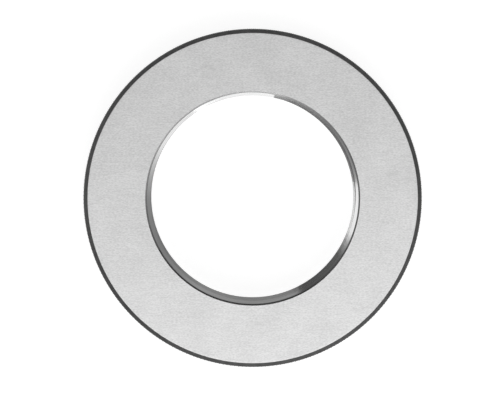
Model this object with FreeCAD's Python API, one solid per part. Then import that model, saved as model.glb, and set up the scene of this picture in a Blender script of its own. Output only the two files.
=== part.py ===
import FreeCAD, Part
import math
import os

from FreeCAD import Vector

# A thread ring gauge: one ring of hardened steel with a right-hand screw thread cut through its bore.
# It lies on one ground face, with its axis along +Z and the origin at the middle of that face.
# Lengths are in millimetres and angles in degrees.

# The ring's body
outer_diameter = 112.0  # over the crests of the rim's fine knurl
wall = 21.0  # from the thread's root to the rim, on the radius
thickness = 24.0  # between the two ground faces
rim_chamfer = 1.5  # depth along the axis of the chamfer on each outer edge
rim_chamfer_angle = 45.0  # between that chamfer and the axis

# The thread: its flats are the metric form's shares of the pitch
pitch = 2.0
flank_angle = 30.0  # between each flank and a plane square to the axis
root_flat = pitch / 8
crest_flat = pitch / 4

# The bore's mouth at each face
mouth_margin = 0.5  # how far the chamfer opens past the thread's root, on the radius
mouth_angle = 45.0  # between that chamfer and the axis

# The blunt start at each mouth, where the thread's thin first part is milled away
start_direction = 90.0  # of the blunt start at the upper face, about the axis from +X
relief_margin = 0.1  # how far the milling goes past the thread's root, on the radius
relief_turns = 0.98  # just under one turn, so that the cutter's section never meets itself

# Worked out from the sizes above
outer_radius = outer_diameter / 2
root_radius = outer_radius - wall
thread_depth = (pitch - root_flat - crest_flat) / 2 / math.tan(math.radians(flank_angle))
crest_radius = root_radius - thread_depth
mouth_radius = root_radius + mouth_margin
mouth_chamfer = (mouth_radius - crest_radius) / math.tan(math.radians(mouth_angle))
face_radius = outer_radius - rim_chamfer * math.tan(math.radians(rim_chamfer_angle))

# Each helical cutter starts a little inside the crest, so that no thin skin is left there
inner_radius = crest_radius - pitch / 10
span_turns = 1 / 2  # the part of a turn that each edge of its path takes

# The ridge between two grooves is blunt where its crest would first show below the mouth's chamfer
blunt_depth = mouth_chamfer - crest_flat / 2
blunt_height = thickness - blunt_depth


def ring_blank():
    """The turned blank: a ring bored to the thread's crest, chamfered at all four edges."""
    section = Part.makePolygon([
        Vector(crest_radius, 0, mouth_chamfer),
        Vector(mouth_radius, 0, 0),
        Vector(face_radius, 0, 0),
        Vector(outer_radius, 0, rim_chamfer),
        Vector(outer_radius, 0, thickness - rim_chamfer),
        Vector(face_radius, 0, thickness),
        Vector(mouth_radius, 0, thickness),
        Vector(crest_radius, 0, thickness - mouth_chamfer),
        Vector(crest_radius, 0, mouth_chamfer),
    ])
    return Part.Face(section).revolve(Vector(0, 0, 0), Vector(0, 0, 1), 360)


def ridge_direction(height):
    """Where the middle of the thread's ridge stands at a given height, about the axis from +X."""
    return start_direction + 360 * (height - blunt_height) / pitch


def cutter_section(outer, inner_half, outer_half):
    """A four-sided section about the path's start, with its half widths at the inner and outer radius."""
    return Part.makePolygon([
        Vector(inner_radius, 0, -inner_half),
        Vector(outer, 0, -outer_half),
        Vector(outer, 0, outer_half),
        Vector(inner_radius, 0, inner_half),
        Vector(inner_radius, 0, -inner_half),
    ])


def helical_cutter(section, low, turns, direction):
    """A section swept up a right-hand helix, which starts at a given height and direction."""
    spans = []
    for index in range(math.ceil(turns / span_turns)):
        start = index * span_turns
        length = min(span_turns, turns - start) * pitch
        span = Part.makeHelix(pitch, length, crest_radius)
        span.rotate(Vector(0, 0, 0), Vector(0, 0, 1), 360 * start)
        span.translate(Vector(0, 0, start * pitch))
        spans.extend(span.Edges)
    make_solid = True
    keep_upright = True
    cutter = Part.Wire(spans).makePipeShell([section], make_solid, keep_upright)
    cutter.rotate(Vector(0, 0, 0), Vector(0, 0, 1), direction)
    cutter.translate(Vector(0, 0, low))
    return cutter


def thread_groove():
    """What the thread takes out: the groove stands half a turn from the ridge and runs out past both faces."""
    root_half = root_flat / 2
    inner_half = root_half + (root_radius - inner_radius) * math.tan(math.radians(flank_angle))
    section = cutter_section(root_radius, inner_half, root_half)
    low = -pitch
    turns = math.ceil(thickness / pitch) + 2
    return helical_cutter(section, low, turns, ridge_direction(low) + 180)


def ridge_relief(low):
    """What the blunt start takes out: most of a turn of the ridge, from the middle of one groove to the next."""
    half = pitch / 2
    section = cutter_section(root_radius + relief_margin, half, half)
    return helical_cutter(section, low, relief_turns, ridge_direction(low))


def thread_ring_gauge():
    """The blank with its thread cut, and the thin first part of the ridge milled away at both mouths."""
    upper_relief = ridge_relief(blunt_height)
    lower_relief = ridge_relief(blunt_depth - relief_turns * pitch)
    threaded = ring_blank().cut(thread_groove())
    return threaded.cut(upper_relief).cut(lower_relief).Solids[0]


gauge = thread_ring_gauge()
print("one closed solid:", gauge.isValid() and gauge.isClosed())
print("crest radius", round(crest_radius, 4), "wall length", round(thickness - 2 * mouth_chamfer, 4))
print("volume", round(gauge.Volume, 1))

os.makedirs("parts", exist_ok=True)
gauge.exportStep("parts/thread_ring_gauge.step")
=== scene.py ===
import math

import bpy
from mathutils import Matrix, Vector


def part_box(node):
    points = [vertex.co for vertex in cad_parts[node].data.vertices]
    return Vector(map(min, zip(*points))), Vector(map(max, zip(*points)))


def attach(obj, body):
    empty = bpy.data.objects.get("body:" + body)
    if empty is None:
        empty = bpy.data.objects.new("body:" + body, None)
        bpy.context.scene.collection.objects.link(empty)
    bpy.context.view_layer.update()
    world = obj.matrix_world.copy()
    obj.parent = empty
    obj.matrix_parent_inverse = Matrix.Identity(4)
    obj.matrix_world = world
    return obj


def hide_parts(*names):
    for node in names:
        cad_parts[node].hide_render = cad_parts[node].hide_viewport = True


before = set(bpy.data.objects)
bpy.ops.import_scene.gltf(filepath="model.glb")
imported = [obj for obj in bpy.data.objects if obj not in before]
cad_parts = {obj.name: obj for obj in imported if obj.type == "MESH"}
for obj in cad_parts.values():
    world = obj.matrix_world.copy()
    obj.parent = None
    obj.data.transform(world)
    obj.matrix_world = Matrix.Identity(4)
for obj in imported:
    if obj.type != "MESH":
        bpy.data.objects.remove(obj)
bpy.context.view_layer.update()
ringLow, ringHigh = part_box("thread_ring_gauge")

mm = 0.001

# sizes of the ring, in millimetres; its rim and thickness come from the CAD model
ring = {
    "outerRadius": ringHigh.x / mm,
    "thickness": (ringHigh.z - ringLow.z) / mm,
    "rimChamfer": 1.5,
    "edgeBreakRadius": 54.35,       # where the ground face ends in a fine stoned edge
    "edgeBreakDepth": 0.03,
    "mouthRadius": 35.5,
    "crestRadius": 33.9175,
    "smoothBelow": 8.0,             # degrees between faces that are shaded as one
}

# the rim's diamond knurl: ridges round the rim, their slope and how deep they are pressed
knurl = {
    "ridges": 276,
    "helixAngle": 30.0,
    "depth": 0.34,
    "crestShare": 0.28,             # of each pyramid's slope, taken off by its flat crest
}

# the thread in the bore, right hand
thread = {
    "pitch": 2.0,
    "rootRadius": 35.0,
    "rootFlat": 0.25,
    "flankAngle": 30.0,
    "insideCrest": 0.2,             # how far each cutter starts inside the crest
    "stepsPerTurn": 120,
    "turnsPastFaces": 1,            # of the groove's cutter
    "startDirection": 90.0,         # of the blunt start at the upper face
    "reliefMargin": 0.1,
    "reliefTurns": 0.98,
}

# how near points lie to a place or to each other before they count as there, in millimetres
closeness = {
    "edge": 0.0001,
    "corner": 0.001,
    "mirrorSeam": 0.001,
    "spinSeam": 0.002,
    "face": 0.01,
}


def objectMode():
    if bpy.context.object and bpy.context.object.mode != 'OBJECT':
        bpy.ops.object.mode_set(mode='OBJECT')


def deselectEverything():
    objectMode()
    bpy.ops.object.select_all(action='DESELECT')


def makeActive(piece):
    deselectEverything()
    piece.select_set(True)
    bpy.context.view_layer.objects.active = piece


def selectPoints(piece, wanted):
    # leaves edit mode with only the points selected whose place is wanted
    objectMode()
    bpy.ops.object.mode_set(mode='EDIT')
    bpy.ops.mesh.select_mode(type='VERT')
    bpy.ops.mesh.select_all(action='DESELECT')
    bpy.ops.object.mode_set(mode='OBJECT')
    for point in piece.data.vertices:
        point.select = wanted(point.co)
    bpy.ops.object.mode_set(mode='EDIT')


def selectedPoints(piece):
    bpy.ops.object.mode_set(mode='OBJECT')
    places = [point.co.copy() for point in piece.data.vertices if point.select]
    bpy.ops.object.mode_set(mode='EDIT')
    return places


def extrudeInwards(fromRadius, toRadius, drop):
    # the selected edge goes to another radius about the ring's axis, and down by the drop
    share = toRadius / fromRadius
    bpy.ops.mesh.extrude_region_move()
    bpy.ops.transform.resize(value=(share, share, 1), center_override=(0, 0, 0))
    bpy.ops.transform.translate(value=(0, 0, -drop * mm))


def applyModifiers(piece):
    makeActive(piece)
    for modifier in list(piece.modifiers):
        bpy.ops.object.modifier_apply(modifier=modifier.name)


def makeKnurlSector(name):
    # upper half of one ridge's width of the rim, standing on the middle plane of the ring
    radius = ring["outerRadius"] * mm
    halfWidth = radius * math.tan(math.pi / knurl["ridges"])
    rowHeight = math.pi * radius / knurl["ridges"] / math.tan(math.radians(knurl["helixAngle"]))
    rows = math.ceil(ring["thickness"] / 2 * mm / rowHeight)
    middle = (radius, 0, rows * rowHeight / 2)
    deselectEverything()
    bpy.ops.mesh.primitive_grid_add(x_subdivisions=rows, y_subdivisions=2, size=1,
                                    location=middle, rotation=(0, math.pi / 2, 0))
    sector = bpy.context.object
    sector.name = name
    bpy.ops.object.mode_set(mode='EDIT')
    bpy.ops.mesh.select_all(action='SELECT')
    bpy.ops.transform.resize(value=(1, 2 * halfWidth, rows * rowHeight), center_override=middle)
    bpy.ops.object.mode_set(mode='OBJECT')
    bpy.ops.object.transform_apply(location=True, rotation=True, scale=True)

    def isRoot(place):
        column = round(place.y / halfWidth)
        row = round(place.z / rowHeight)
        return (column + row) % 2 == 1

    # the roots are joined across each cell and pushed in
    depth = knurl["depth"] * mm
    selectPoints(sector, isRoot)
    bpy.ops.mesh.vert_connect()
    selectPoints(sector, isRoot)
    bpy.ops.transform.translate(value=(-depth, 0, 0))
    bpy.ops.transform.resize(value=(1, (radius - depth) / radius, 1), center_override=(0, 0, 0))

    # the crests are raised by what their flats take off again
    raised = depth * knurl["crestShare"] / (1 - knurl["crestShare"])
    selectPoints(sector, lambda place: place.x > radius - depth / 2)
    bpy.ops.transform.translate(value=(raised, 0, 0))
    bpy.ops.transform.resize(value=(1, (radius + raised) / radius, 1), center_override=(0, 0, 0))
    bpy.ops.mesh.bevel(affect='VERTICES', offset_type='PERCENT',
                       offset_pct=100 * knurl["crestShare"], segments=1)
    return sector


def closeSector(sector):
    # the chamfer, the stoned edge, the ground face, the bore's mouth and its wall, in one run
    radius = ring["outerRadius"] * mm
    top = ring["thickness"] / 2 * mm
    chamfer = ring["rimChamfer"] * mm
    breakDepth = ring["edgeBreakDepth"] * mm
    bpy.ops.mesh.select_all(action='SELECT')
    bpy.ops.mesh.bisect(plane_co=(radius, 0, top - chamfer), plane_no=(1, 0, 1), clear_outer=True)
    cutLine = selectedPoints(sector)
    outermost = max(cutLine, key=lambda place: place.y)

    # the cut line runs down the chamfer to one straight edge, and the points within that edge go
    edgeRadius = radius - chamfer + breakDepth
    bpy.ops.mesh.extrude_region_move()
    bpy.ops.transform.resize(value=(0, edgeRadius / outermost.x, 0),
                             center_override=(edgeRadius, 0, top - breakDepth))
    halfEdge = edgeRadius * math.tan(math.pi / knurl["ridges"])

    def onEdge(place):
        return abs(place.x - edgeRadius) < closeness["edge"] * mm

    selectPoints(sector, lambda place: onEdge(place)
                 and abs(place.y) < halfEdge - closeness["corner"] * mm)
    bpy.ops.mesh.dissolve_verts()
    selectPoints(sector, onEdge)

    mouthChamfer = ring["mouthRadius"] - ring["crestRadius"]
    extrudeInwards(edgeRadius / mm, ring["edgeBreakRadius"], -ring["edgeBreakDepth"])
    extrudeInwards(ring["edgeBreakRadius"], ring["mouthRadius"], 0)
    extrudeInwards(ring["mouthRadius"], ring["crestRadius"], mouthChamfer)
    extrudeInwards(ring["crestRadius"], ring["crestRadius"], ring["thickness"] / 2 - mouthChamfer)
    objectMode()


def spinRing(sector):
    mirror = sector.modifiers.new("lowerHalf", 'MIRROR')
    mirror.use_axis = (False, False, True)
    mirror.merge_threshold = closeness["mirrorSeam"] * mm
    applyModifiers(sector)
    ridges = knurl["ridges"]
    bpy.ops.object.mode_set(mode='EDIT')
    bpy.ops.mesh.select_all(action='SELECT')
    bpy.ops.mesh.spin(steps=ridges - 1, dupli=True, angle=2 * math.pi * (ridges - 1) / ridges,
                      center=(0, 0, 0), axis=(0, 0, 1))
    bpy.ops.mesh.select_all(action='SELECT')
    bpy.ops.mesh.remove_doubles(threshold=closeness["spinSeam"] * mm)
    bpy.ops.transform.translate(value=(0, 0, ring["thickness"] / 2 * mm))
    bpy.ops.mesh.normals_make_consistent(inside=False)
    objectMode()


def makeHelicalCutter(name, innerHalf, outerHalf, outerRadius, low, turns, direction):
    # a four-sided section wound up a right-hand helix and closed at both ends; lengths in millimetres
    innerRadius = ring["crestRadius"] - thread["insideCrest"]
    middle = ((innerRadius + outerRadius) / 2 * mm, 0, low * mm)
    deselectEverything()
    bpy.ops.mesh.primitive_plane_add(size=1, location=middle, rotation=(math.pi / 2, 0, 0))
    cutter = bpy.context.object
    cutter.name = name
    bpy.ops.object.transform_apply(location=True, rotation=True, scale=True)
    bpy.ops.object.mode_set(mode='EDIT')
    bpy.ops.mesh.select_all(action='SELECT')
    bpy.ops.transform.resize(value=((outerRadius - innerRadius) * mm, 1, 2 * innerHalf * mm),
                             center_override=middle)
    selectPoints(cutter, lambda place: place.x > middle[0])
    bpy.ops.transform.resize(value=(1, 1, outerHalf / innerHalf), center_override=(0, 0, low * mm))
    bpy.ops.mesh.select_all(action='SELECT')
    bpy.ops.mesh.delete(type='ONLY_FACE')
    objectMode()

    windings = max(1, round(turns))
    winding = turns / windings      # the turn, or the part of one, that each winding takes
    screw = cutter.modifiers.new("winding", 'SCREW')
    screw.axis = 'Z'
    screw.angle = 2 * math.pi * winding
    screw.screw_offset = thread["pitch"] * mm * winding
    screw.iterations = windings
    screw.steps = round(thread["stepsPerTurn"] * winding)
    screw.render_steps = screw.steps
    screw.use_merge_vertices = False
    applyModifiers(cutter)

    bpy.ops.object.mode_set(mode='EDIT')
    bpy.ops.mesh.select_all(action='SELECT')
    bpy.ops.mesh.fill_holes(sides=4)
    bpy.ops.mesh.select_all(action='SELECT')
    bpy.ops.mesh.normals_make_consistent(inside=False)
    # with no window open, the operator turns the other way
    bpy.ops.transform.rotate(value=-math.radians(direction), orient_axis='Z',
                             center_override=(0, 0, 0))
    objectMode()
    return cutter


def cutAway(piece, cutter):
    cut = piece.modifiers.new("cut", 'BOOLEAN')
    cut.operation = 'DIFFERENCE'
    cut.solver = 'EXACT'
    cut.object = cutter
    applyModifiers(piece)
    bpy.data.objects.remove(cutter)


def cutThread(piece):
    pitch = thread["pitch"]
    slope = math.tan(math.radians(thread["flankAngle"]))
    insideRadius = ring["crestRadius"] - thread["insideCrest"]
    rootHalf = thread["rootFlat"] / 2
    innerHalf = rootHalf + (thread["rootRadius"] - insideRadius) * slope
    crestFlat = pitch - thread["rootFlat"] - 2 * (thread["rootRadius"] - ring["crestRadius"]) * slope

    # the ridge is blunt where its crest would first show below the mouth's chamfer
    bluntDepth = ring["mouthRadius"] - ring["crestRadius"] - crestFlat / 2
    bluntHeight = ring["thickness"] - bluntDepth

    def ridgeDirection(height):
        return thread["startDirection"] + 360 * (height - bluntHeight) / pitch

    # the groove stands half a turn from the ridge and runs out past both faces
    low = -thread["turnsPastFaces"] * pitch
    turns = math.ceil(ring["thickness"] / pitch) + 2 * thread["turnsPastFaces"]
    groove = makeHelicalCutter("groove", innerHalf, rootHalf, thread["rootRadius"],
                               low, turns, ridgeDirection(low) + 180)
    cutAway(piece, groove)

    # the thin first part of the ridge is milled away at both mouths
    reliefRadius = thread["rootRadius"] + thread["reliefMargin"]
    reliefTurns = thread["reliefTurns"]
    for low in (bluntHeight, bluntDepth - reliefTurns * pitch):
        relief = makeHelicalCutter("relief", pitch / 2, pitch / 2, reliefRadius,
                                   low, reliefTurns, ridgeDirection(low))
        cutAway(piece, relief)


gauge = makeKnurlSector("ringGauge")
closeSector(gauge)
print("one ridge of the rim:", len(gauge.data.polygons), "faces")
spinRing(gauge)
print("whole ring:", len(gauge.data.polygons), "faces")
cutThread(gauge)
print("thread cut:", len(gauge.data.polygons), "faces")
makeActive(gauge)
bpy.ops.object.shade_smooth_by_angle(angle=math.radians(ring["smoothBelow"]))


class Wire:
    # a node's output that can be used in sums
    def __init__(self, finish, socket):
        self.finish = finish
        self.socket = socket

    def sum(self, operation, first, second):
        return self.finish.node('ShaderNodeMath', {"operation": operation}, {0: first, 1: second})

    def __add__(self, other):
        return self.sum('ADD', self, other)

    def __radd__(self, other):
        return self.sum('ADD', other, self)

    def __sub__(self, other):
        return self.sum('SUBTRACT', self, other)

    def __rsub__(self, other):
        return self.sum('SUBTRACT', other, self)

    def __mul__(self, other):
        return self.sum('MULTIPLY', self, other)

    def __rmul__(self, other):
        return self.sum('MULTIPLY', other, self)


class Finish:
    def __init__(self, tree):
        self.tree = tree

    def node(self, kind, settings=None, inputs=None, output=0):
        made = self.tree.nodes.new(kind)
        for name, value in (settings or {}).items():
            if name == "stops":
                self.setStops(made.color_ramp.elements, value)
            else:
                setattr(made, name, value)
        for name, value in (inputs or {}).items():
            self.link(made.inputs[name], value)
        return Wire(self, made.outputs[output])

    def setStops(self, stops, levels):
        while len(stops) < len(levels):
            stops.new(1.0)
        for stop, (position, level) in zip(stops, levels):
            stop.position = position
        for stop, (position, level) in zip(stops, levels):
            stop.color = grey(level)

    def link(self, socket, value):
        if isinstance(value, Wire):
            self.tree.links.new(value.socket, socket)
        else:
            socket.default_value = value

    def noise(self, vector, pattern):
        return self.node('ShaderNodeTexNoise', {"noise_dimensions": '3D'},
                         {"Vector": vector, "Scale": pattern.get("scale", 1.0),
                          "Detail": pattern["detail"], "Roughness": pattern.get("rough", 0.5)})

    def step(self, value, low, high, toLow=0.0, toHigh=1.0):
        return self.node('ShaderNodeMapRange', {"interpolation_type": 'SMOOTHSTEP'},
                         {"Value": value, "From Min": low, "From Max": high,
                          "To Min": toLow, "To Max": toHigh})

    def mixColours(self, share, first, second):
        # by number, because the node's sockets for colours share their names with others
        return self.node('ShaderNodeMix', {"data_type": 'RGBA'},
                         {0: share, 6: first, 7: second}, output=2)


def grey(level):
    return (level, level, level, 1.0)


def newMaterial(name):
    material = bpy.data.materials.new(name)
    material.use_nodes = True
    finish = Finish(material.node_tree)
    shader = material.node_tree.nodes["Principled BSDF"]
    place = finish.node('ShaderNodeTexCoord', output=3)     # object coordinates, in metres
    return material, finish, shader, place


# the ground faces, with the marks that the grinding leaves: their direction is about the axis from
# +X, their sizes are in millimetres, and the shares of the tone add up to 1
faceLook = {
    "pale": 0.735,
    "dark": 0.53,
    "toneFrom": (0.3, 0.7),
    "roughness": 0.38,
    "roughnessSwing": 0.1,
    "metal": 0.68,
    "direction": 12.0,
    "grain": {"size": (0.75, 0.22, 5.0), "detail": 1.0, "rough": 0.6, "share": 0.62},
    "streaks": {"size": (6.0, 0.5, 5.0), "detail": 2.0, "rough": 0.6, "share": 0.2},
    "patches": {"scale": 90.0, "detail": 3.0, "share": 0.18},
    "bumpDepth": 0.01,
    "bumpStrength": 0.1,
}


def makeGroundSteel():
    material, finish, shader, place = newMaterial("groundSteel")

    def stretchedNoise(pattern):
        # as a texture, the pattern is turned first and stretched after
        stretched = finish.node('ShaderNodeMapping', {"vector_type": 'TEXTURE'}, {
            "Vector": place,
            "Rotation": (0, 0, math.radians(faceLook["direction"])),
            "Scale": [side * mm for side in pattern["size"]]})
        return finish.noise(stretched, pattern)

    grain = stretchedNoise(faceLook["grain"])
    streaks = stretchedNoise(faceLook["streaks"])
    patches = finish.noise(place, faceLook["patches"])
    marks = grain * faceLook["grain"]["share"] + streaks * faceLook["streaks"]["share"]
    marks = marks + patches * faceLook["patches"]["share"]
    tone = finish.step(marks, *faceLook["toneFrom"])
    finish.link(shader.inputs["Base Color"],
                finish.mixColours(tone, grey(faceLook["dark"]), grey(faceLook["pale"])))
    finish.link(shader.inputs["Roughness"],
                faceLook["roughness"] + faceLook["roughnessSwing"] * (grain - 0.5))
    bump = finish.node('ShaderNodeBump', {}, {
        "Height": grain, "Strength": faceLook["bumpStrength"], "Distance": faceLook["bumpDepth"] * mm})
    finish.link(shader.inputs["Normal"], bump)
    shader.inputs["Metallic"].default_value = faceLook["metal"]
    return material


# the bore: bright where the lap runs; the thread's flats, which it doesn't reach, are rougher, and
# their near-black colour and weak grazing tint are painted shade that darkens what they mirror
boreLook = {
    "pale": 0.77,
    "dark": 0.69,
    "toneFrom": (0.35, 0.65),
    "roughness": 0.11,
    "roughnessSwing": 0.04,
    "stretch": (120, 120, 9000),    # slow round the bore and quick along the axis
    "marks": {"detail": 2.0},
    # painted shade: the flats' near-black colour, which darkens what they mirror
    "paintedShadeBase": 0.14,
    "paintedShadeSwing": 0.2,
    "flatClouds": {"scale": 900.0, "detail": 3.0},
    "dullRoughness": 0.55,
    "dullRoughnessSwing": 0.1,
    "paintedShadeTint": 0.2,                # painted shade: the share the flats keep of what they mirror at a flat angle
}


def makeLappedSteel():
    material, finish, shader, place = newMaterial("lappedSteel")
    rings = finish.node('ShaderNodeMapping', {}, {"Vector": place, "Scale": boreLook["stretch"]})
    marks = finish.noise(rings, boreLook["marks"])
    tone = finish.step(marks, *boreLook["toneFrom"])
    finish.link(shader.inputs["Base Color"],
                finish.mixColours(tone, grey(boreLook["dark"]), grey(boreLook["pale"])))
    finish.link(shader.inputs["Roughness"],
                boreLook["roughness"] + boreLook["roughnessSwing"] * (marks - 0.5))
    shader.inputs["Metallic"].default_value = 1.0
    return material


# the thread's flats: rough steel whose near-black colour and weak grazing tint are painted shade
def makePaintedShadeSteel():
    material, finish, shader, place = newMaterial("paintedShadeSteel")
    clouds = finish.noise(place, boreLook["flatClouds"])
    darker = boreLook["paintedShadeBase"] * (1 - boreLook["paintedShadeSwing"])
    paler = boreLook["paintedShadeBase"] * (1 + boreLook["paintedShadeSwing"])
    finish.link(shader.inputs["Base Color"], finish.mixColours(clouds, grey(darker), grey(paler)))
    finish.link(shader.inputs["Roughness"],
                boreLook["dullRoughness"] + boreLook["dullRoughnessSwing"] * (clouds - 0.5))
    shader.inputs["Metallic"].default_value = 1.0
    shader.inputs["Specular Tint"].default_value = grey(boreLook["paintedShadeTint"])
    return material


# the blackened rim, worn paler on the knurl's crests
rimLook = {
    "black": 0.083,
    "blackRange": (0.8, 1.25),      # times the black, over the clouds and specks
    "toneFrom": (0.3, 0.7),
    "clouds": {"scale": 700.0, "detail": 3.0, "share": 0.6},
    "specks": {"scale": 4000.0, "detail": 2.0, "share": 0.4},
    "worn": 0.25,
    "wearFrom": (0.14, 0.01),       # millimetres below the crests
    "wearRange": (0.25, 0.9),
    "roughness": 0.46,
    "speckRoughness": 0.08,
    "wearShine": 0.12,
}


def makeBlackenedRim():
    material, finish, shader, place = newMaterial("blackenedRim")
    flat = finish.node('ShaderNodeVectorMath', {"operation": 'MULTIPLY'}, {0: place, 1: (1, 1, 0)})
    radius = finish.node('ShaderNodeVectorMath', {"operation": 'LENGTH'}, {0: flat}, output=1)
    wearLow, wearHigh = ((ring["outerRadius"] - below) * mm for below in rimLook["wearFrom"])
    crests = finish.step(radius, wearLow, wearHigh)
    clouds = finish.noise(place, rimLook["clouds"])
    specks = finish.noise(place, rimLook["specks"])
    wear = crests * finish.step(clouds, *rimLook["toneFrom"], *rimLook["wearRange"])
    marks = clouds * rimLook["clouds"]["share"] + specks * rimLook["specks"]["share"]
    tone = finish.step(marks, *rimLook["toneFrom"])
    darker, paler = (grey(rimLook["black"] * times) for times in rimLook["blackRange"])
    black = finish.mixColours(tone, darker, paler)
    finish.link(shader.inputs["Base Color"], finish.mixColours(wear, black, grey(rimLook["worn"])))
    finish.link(shader.inputs["Roughness"], rimLook["roughness"]
                + rimLook["speckRoughness"] * specks - rimLook["wearShine"] * wear)
    shader.inputs["Metallic"].default_value = 1.0
    return material


# how a face's finish is told: by the upright part of its normal, and by its place
dressing = {
    "level": 0.9999,
    "nearlyLevel": 0.9,
    "flank": (0.1, 0.95),
    "boreMargin": 0.05,             # millimetres past the mouth
}


def dressRing(piece):
    groundSteel, lappedSteel, blackenedRim, paintedShadeSteel = range(4)
    for material in (makeGroundSteel(), makeLappedSteel(), makeBlackenedRim(), makePaintedShadeSteel()):
        piece.data.materials.append(material)
    thickness = ring["thickness"] * mm
    boreRadius = (ring["mouthRadius"] + dressing["boreMargin"]) * mm
    leastFlank, mostFlank = dressing["flank"]
    for face in piece.data.polygons:
        radius = math.hypot(face.center.x, face.center.y)
        upright = abs(face.normal.z)
        atFace = min(face.center.z, thickness - face.center.z) < closeness["face"] * mm
        if upright > dressing["level"] and atFace:
            face.material_index = groundSteel
        elif radius < boreRadius:
            flank = leastFlank < upright < mostFlank
            # the flats take the steel with the painted shade
            face.material_index = lappedSteel if flank else paintedShadeSteel
        elif upright > dressing["nearlyLevel"]:
            face.material_index = groundSteel       # the stoned edge
        else:
            face.material_index = blackenedRim


dressRing(gauge)
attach(gauge, "root")
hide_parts("thread_ring_gauge")
print("ring dressed")

floorLook = {
    "width": 30.0,                  # metres
    "matt": 0.42,
    "white": 0.8,                   # the glow that the camera and the metal see, not the ring's light
}


def makeFloor():
    deselectEverything()
    bpy.ops.mesh.primitive_grid_add(x_subdivisions=2, y_subdivisions=2, size=floorLook["width"],
                                    location=(0, 0, 0))
    floor = bpy.context.object
    floor.name = "paleFloor"
    material = bpy.data.materials.new("paleFloor")
    material.use_nodes = True
    tree = material.node_tree
    finish = Finish(tree)
    tree.nodes.remove(tree.nodes["Principled BSDF"])
    rays = finish.node('ShaderNodeLightPath').socket.node.outputs
    seen = Wire(finish, rays["Is Camera Ray"]) + Wire(finish, rays["Is Glossy Ray"])
    seen = seen + Wire(finish, rays["Is Transmission Ray"])
    matt = finish.node('ShaderNodeBsdfDiffuse', {}, {"Color": grey(floorLook["matt"])})
    white = finish.node('ShaderNodeEmission', {}, {"Color": grey(1.0), "Strength": floorLook["white"]})
    both = finish.node('ShaderNodeAddShader', {}, {0: matt, 1: white})
    mixed = finish.node('ShaderNodeMixShader', {}, {0: seen, 1: matt, 2: both})
    finish.link(tree.nodes["Material Output"].inputs["Surface"], mixed)
    floor.data.materials.append(material)


# what the ring reflects: the brightness round the room, by direction about the ring in degrees,
# before the room is turned
room = {
    "turn": 12.0,                   # of the room, its lamps and its camera about the ring's axis
    "brightest": 1.5,
    "horizon": ((0, 0.24), (28, 0.06), (60, 0.04), (120, 0.05), (150, 0.1), (180, 0.16),
                (205, 0.17), (225, 0.34), (249, 0.6), (258, 1.45), (280, 1.35), (300, 0.95),
                (330, 0.7), (345, 0.4), (360, 0.24)),
    "walls": ((0, 0.31), (25, 0.26), (45, 0.29), (60, 0.37), (90, 0.32), (117.5, 0.33),
              (118.5, 0.09), (135, 0.11), (149, 0.13), (157, 0.42), (163, 1.13), (189.5, 1.13),
              (193, 0.4), (200, 0.34), (225, 0.25), (240, 0.35), (252, 0.48), (262, 1.05),
              (280, 1.1), (300, 0.95), (315, 1.1), (330, 1.02), (348, 0.5), (360, 0.31)),
    "wallsFrom": (0.1, 0.22),       # sine of the elevation where the horizon gives way to the walls
    "ceilingFrom": (0.60, 0.76),
    "ceiling": 0.85,
    "middleFrom": (0.88, 0.95),     # straight above, the ceiling's middle is brighter towards the front
    "front": 286.0,
    "ceilingFront": 1.2,
    "ceilingBack": 0.42,
    "ceilingTurn": (-0.04, 0.10),
}


def turned(place):
    return Matrix.Rotation(math.radians(room["turn"]), 3, 'Z') @ Vector(place)


def makeWorld():
    world = bpy.data.worlds.new("softRoom")
    bpy.context.scene.world = world
    world.use_nodes = True
    finish = Finish(world.node_tree)
    direction = finish.node('ShaderNodeTexCoord', output=0)
    split = finish.node('ShaderNodeSeparateXYZ', {}, {"Vector": direction}).socket.node.outputs
    along, across, height = (Wire(finish, part) for part in split)
    angle = finish.node('ShaderNodeMath', {"operation": 'ARCTAN2'}, {0: across, 1: along})
    turns = angle * (1 / (2 * math.pi)) + (1 - room["turn"] / 360)
    turn = finish.node('ShaderNodeMath', {"operation": 'FRACT'}, {0: turns})

    def around(name):
        stops = [(degrees / 360, level / room["brightest"]) for degrees, level in room[name]]
        return finish.node('ShaderNodeValToRGB', {"stops": stops}, {"Fac": turn}) * room["brightest"]

    horizon, walls = around("horizon"), around("walls")
    low = horizon + (walls - horizon) * finish.step(height, *room["wallsFrom"])
    front = math.radians(room["front"] + room["turn"])
    facing = along * math.cos(front) + across * math.sin(front)
    middle = finish.step(facing, *room["ceilingTurn"], room["ceilingBack"], room["ceilingFront"])
    ceiling = room["ceiling"] + (middle - room["ceiling"]) * finish.step(height, *room["middleFrom"])
    level = low + (ceiling - low) * finish.step(height, *room["ceilingFrom"])
    back = world.node_tree.nodes["Background"]
    back.inputs["Color"].default_value = grey(1.0)
    finish.link(back.inputs["Strength"], level)


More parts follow.
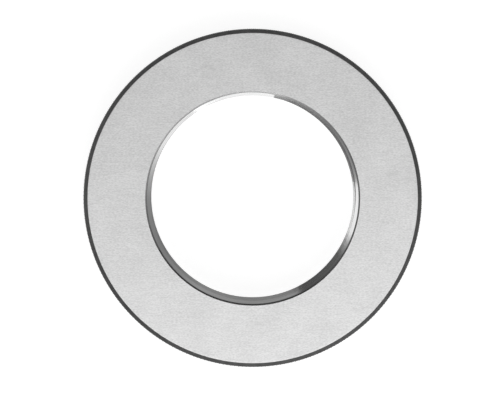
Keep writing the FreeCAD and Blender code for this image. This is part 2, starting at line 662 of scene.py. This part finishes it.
# the lamps, in metres and watts
softboxes = {
    "overheadSoftbox": {"place": (0, -0.3, 1.6), "width": 1.0, "watts": 0.4},
    "frontSoftbox": {"place": (0.03, -0.24, 0.40), "width": 0.4, "watts": 0.42},
}


def makeSoftbox(name, softbox):
    lamp = bpy.data.lights.new(name, 'AREA')
    lamp.shape = 'SQUARE'
    lamp.size = softbox["width"]
    lamp.energy = softbox["watts"]
    holder = bpy.data.objects.new(name, lamp)
    bpy.context.scene.collection.objects.link(holder)
    holder.location = turned(softbox["place"])
    holder.rotation_euler = turned(softbox["place"]).to_track_quat('Z', 'Y').to_euler()


# lengths in millimetres, before the room's turn
cameraPlace = {
    "foot": (-6.5, 36.8),           # where it stands over the ring, from the axis
    "height": 1250.0,               # above the upper face
    "viewWidth": 165.1,             # of what it sees at the upper face
    "picture": (500, 400),
    "centrePixel": (252.7, 198.3),  # of the ring
    "sensorWidth": 36.0,
    "clipping": (10.0, 100000.0),
}


def makeCamera():
    top = ring["thickness"] * mm
    viewWidth = cameraPlace["viewWidth"] * mm
    width, height = cameraPlace["picture"]
    column, row = cameraPlace["centrePixel"]
    pixel = viewWidth / width
    lens = bpy.data.cameras.new("camera")
    camera = bpy.data.objects.new("camera", lens)
    bpy.context.scene.collection.objects.link(camera)
    bpy.context.scene.camera = camera

    along, across = cameraPlace["foot"]
    eye = turned((along * mm, across * mm, top + cameraPlace["height"] * mm))
    aim = turned(((width / 2 - column) * pixel, (row - height / 2) * pixel, top))
    back = (eye - aim).normalized()
    side = turned((0, 1, 0)).cross(back).normalized()       # +Y of the room is up in the picture
    camera.location = eye
    camera.rotation_euler = Matrix((side, back.cross(side), back)).transposed().to_euler()
    lens.sensor_width = cameraPlace["sensorWidth"]
    lens.lens = cameraPlace["sensorWidth"] * (eye - aim).length / viewWidth
    nearest, farthest = cameraPlace["clipping"]
    lens.clip_start = nearest * mm
    lens.clip_end = farthest * mm


makeFloor()
makeWorld()
for name, softbox in softboxes.items():
    makeSoftbox(name, softbox)
makeCamera()
bpy.context.scene.view_settings.view_transform = 'Standard'
print("floor, light and camera made")
